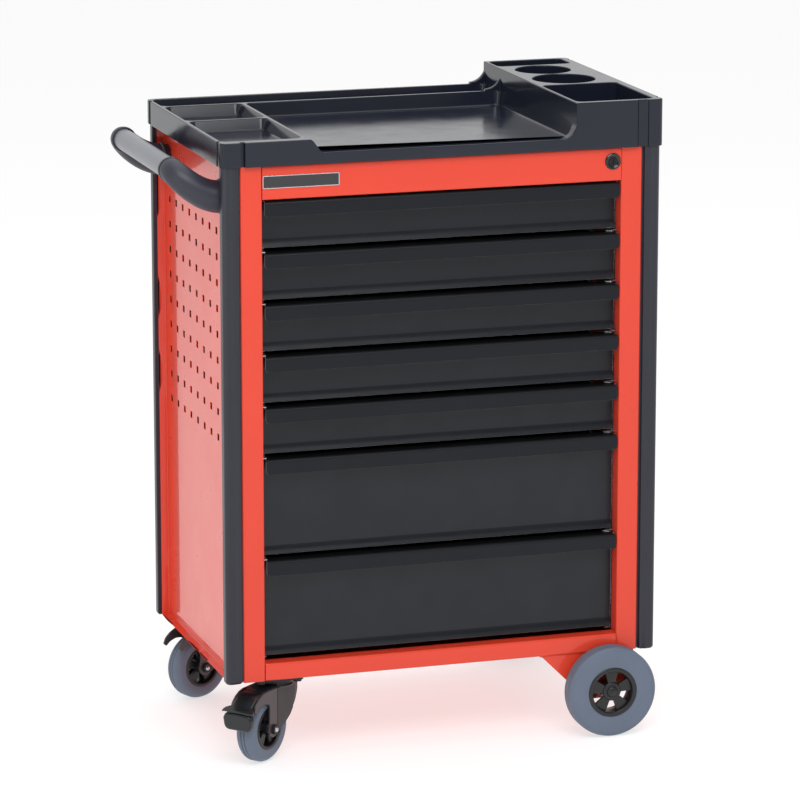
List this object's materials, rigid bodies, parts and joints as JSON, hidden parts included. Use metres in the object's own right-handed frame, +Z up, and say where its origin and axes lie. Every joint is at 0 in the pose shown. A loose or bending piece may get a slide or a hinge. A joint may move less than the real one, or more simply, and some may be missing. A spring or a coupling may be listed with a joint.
{
  "type": "rolling tool cabinet",
  "caption": "Wheeled steel tool cabinet with stacked drawers on telescopic runners, a moulded worktop tray with can holders and a side push handle.",
  "frame": {"origin": "middle of the whole cabinet's footprint box, on the floor", "axes": "+Z up, +Y from the drawer fronts to the back, +X to the right as seen from the front"},
  "size_m": [0.735, 0.4826, 0.947],
  "materials": {
    "red_paint": "gloss powder coat",
    "drawer_paint": "satin anthracite powder coat",
    "post_plastic": "satin moulded plastic",
    "tray_plastic": "fine grain with a glossy sheen",
    "badge": "glossy blank plate with a bright edge",
    "lock_black": "gloss black",
    "lock_core": "dark plated steel",
    "zinc": "bright zinc plate",
    "tube_grey": "satin grey",
    "elbow_plastic": "satin black",
    "tyre_rubber": "smooth blue-grey rubber",
    "hub_plastic": "satin black",
    "fork_steel": "dark grey coat",
    "pedal_plastic": "matt black"
  },
  "bodies": {
    "cabinet": {"front_frame": "red_paint", "left_side_panel": "red_paint", "right_side_panel": "red_paint", "rear_panel": "red_paint", "base_pan": "red_paint", "top_deck": "red_paint", "post_front_left": "post_plastic", "post_front_right": "post_plastic", "post_rear_left": "post_plastic", "post_rear_right": "post_plastic", "runner_uprights": "zinc", "runner_rails": "zinc", "top_tray": "tray_plastic", "badge_plate": "badge", "lock_housing": "lock_black", "handle_tube": "tube_grey", "handle_elbow_front": "elbow_plastic", "handle_elbow_rear": "elbow_plastic", "handle_collars": "elbow_plastic", "wheel_bracket_front": "red_paint", "wheel_bracket_rear": "red_paint", "wheel_axle": "zinc", "wheel_axle_caps": "hub_plastic", "caster_mounts": "zinc", "caster_bolts": "zinc"},
    "lock_barrel": {"lock_cylinder": "lock_core"},
    "drawer_1": {"drawer_1_box": "drawer_paint", "drawer_1_front": "drawer_paint"},
    "slides_1": {"drawer_1_slides": "zinc"},
    "drawer_2": {"drawer_2_box": "drawer_paint", "drawer_2_front": "drawer_paint"},
    "slides_2": {"drawer_2_slides": "zinc"},
    "drawer_3": {"drawer_3_box": "drawer_paint", "drawer_3_front": "drawer_paint"},
    "slides_3": {"drawer_3_slides": "zinc"},
    "drawer_4": {"drawer_4_box": "drawer_paint", "drawer_4_front": "drawer_paint"},
    "slides_4": {"drawer_4_slides": "zinc"},
    "drawer_5": {"drawer_5_box": "drawer_paint", "drawer_5_front": "drawer_paint"},
    "slides_5": {"drawer_5_slides": "zinc"},
    "drawer_6": {"drawer_6_box": "drawer_paint", "drawer_6_front": "drawer_paint"},
    "slides_6": {"drawer_6_slides": "zinc"},
    "drawer_7": {"drawer_7_box": "drawer_paint", "drawer_7_front": "drawer_paint"},
    "slides_7": {"drawer_7_slides": "zinc"},
    "caster_front": {"caster_front_fork": "fork_steel", "caster_front_axle": "zinc"},
    "caster_front_wheel": {"caster_front_tyre": "tyre_rubber", "caster_front_hub": "hub_plastic"},
    "caster_front_brake": {"caster_front_pedal": "pedal_plastic"},
    "caster_rear": {"caster_rear_fork": "fork_steel", "caster_rear_axle": "zinc"},
    "caster_rear_wheel": {"caster_rear_tyre": "tyre_rubber", "caster_rear_hub": "hub_plastic"},
    "wheel_front": {"wheel_front_tyre": "tyre_rubber", "wheel_front_hub": "hub_plastic"},
    "wheel_rear": {"wheel_rear_tyre": "tyre_rubber", "wheel_rear_hub": "hub_plastic"}
  },
  "joints": [
    {"name": "lock_turn", "type": "hinge", "parent": "cabinet", "child": "lock_barrel", "pos_m": [0.2923, -0.19773, 0.858], "axis": [0, 1, 0], "range_deg": [0, 90]},
    {"name": "drawer_1_slide", "type": "slide", "parent": "cabinet", "child": "drawer_1", "axis": [0, -1, 0], "range_m": [0, 0.33]},
    {"name": "slides_1_travel", "type": "slide", "parent": "cabinet", "child": "slides_1", "axis": [0, -1, 0], "range_m": [0, 0.165]},
    {"name": "drawer_2_slide", "type": "slide", "parent": "cabinet", "child": "drawer_2", "axis": [0, -1, 0], "range_m": [0, 0.33]},
    {"name": "slides_2_travel", "type": "slide", "parent": "cabinet", "child": "slides_2", "axis": [0, -1, 0], "range_m": [0, 0.165]},
    {"name": "drawer_3_slide", "type": "slide", "parent": "cabinet", "child": "drawer_3", "axis": [0, -1, 0], "range_m": [0, 0.33]},
    {"name": "slides_3_travel", "type": "slide", "parent": "cabinet", "child": "slides_3", "axis": [0, -1, 0], "range_m": [0, 0.165]},
    {"name": "drawer_4_slide", "type": "slide", "parent": "cabinet", "child": "drawer_4", "axis": [0, -1, 0], "range_m": [0, 0.33]},
    {"name": "slides_4_travel", "type": "slide", "parent": "cabinet", "child": "slides_4", "axis": [0, -1, 0], "range_m": [0, 0.165]},
    {"name": "drawer_5_slide", "type": "slide", "parent": "cabinet", "child": "drawer_5", "axis": [0, -1, 0], "range_m": [0, 0.33]},
    {"name": "slides_5_travel", "type": "slide", "parent": "cabinet", "child": "slides_5", "axis": [0, -1, 0], "range_m": [0, 0.165]},
    {"name": "drawer_6_slide", "type": "slide", "parent": "cabinet", "child": "drawer_6", "axis": [0, -1, 0], "range_m": [0, 0.33]},
    {"name": "slides_6_travel", "type": "slide", "parent": "cabinet", "child": "slides_6", "axis": [0, -1, 0], "range_m": [0, 0.165]},
    {"name": "drawer_7_slide", "type": "slide", "parent": "cabinet", "child": "drawer_7", "axis": [0, -1, 0], "range_m": [0, 0.33]},
    {"name": "slides_7_travel", "type": "slide", "parent": "cabinet", "child": "slides_7", "axis": [0, -1, 0], "range_m": [0, 0.165]},
    {"name": "caster_front_swivel", "type": "hinge", "parent": "cabinet", "child": "caster_front", "pos_m": [-0.209, -0.15873, 0.108], "axis": [0, 0, 1], "continuous": true},
    {"name": "caster_front_spin", "type": "hinge", "parent": "caster_front", "child": "caster_front_wheel", "pos_m": [-0.23561, -0.18146, 0.05], "axis": [0.6494, -0.7604, 0], "continuous": true},
    {"name": "caster_front_brake_press", "type": "hinge", "parent": "caster_front", "child": "caster_front_brake", "pos_m": [-0.2531, -0.19639, 0.098], "axis": [0.6494, -0.7604, 0], "range_deg": [0, 6]},
    {"name": "caster_rear_swivel", "type": "hinge", "parent": "cabinet", "child": "caster_rear", "pos_m": [-0.209, 0.17127, 0.108], "axis": [0, 0, 1], "continuous": true},
    {"name": "caster_rear_spin", "type": "hinge", "parent": "caster_rear", "child": "caster_rear_wheel", "pos_m": [-0.24152, 0.15833, 0.05], "axis": [0.3697, -0.9291, 0], "continuous": true},
    {"name": "wheel_front_spin", "type": "hinge", "parent": "cabinet", "child": "wheel_front", "pos_m": [0.2905, -0.21423, 0.068], "axis": [0, 1, 0], "continuous": true},
    {"name": "wheel_rear_spin", "type": "hinge", "parent": "cabinet", "child": "wheel_rear", "pos_m": [0.2905, 0.22677, 0.068], "axis": [0, 1, 0], "continuous": true}
  ],
  "couplings": [
    {"joint": "slides_1_travel", "follows": "drawer_1_slide", "ratio": 0.5},
    {"joint": "slides_2_travel", "follows": "drawer_2_slide", "ratio": 0.5},
    {"joint": "slides_3_travel", "follows": "drawer_3_slide", "ratio": 0.5},
    {"joint": "slides_4_travel", "follows": "drawer_4_slide", "ratio": 0.5},
    {"joint": "slides_5_travel", "follows": "drawer_5_slide", "ratio": 0.5},
    {"joint": "slides_6_travel", "follows": "drawer_6_slide", "ratio": 0.5},
    {"joint": "slides_7_travel", "follows": "drawer_7_slide", "ratio": 0.5}
  ]
}
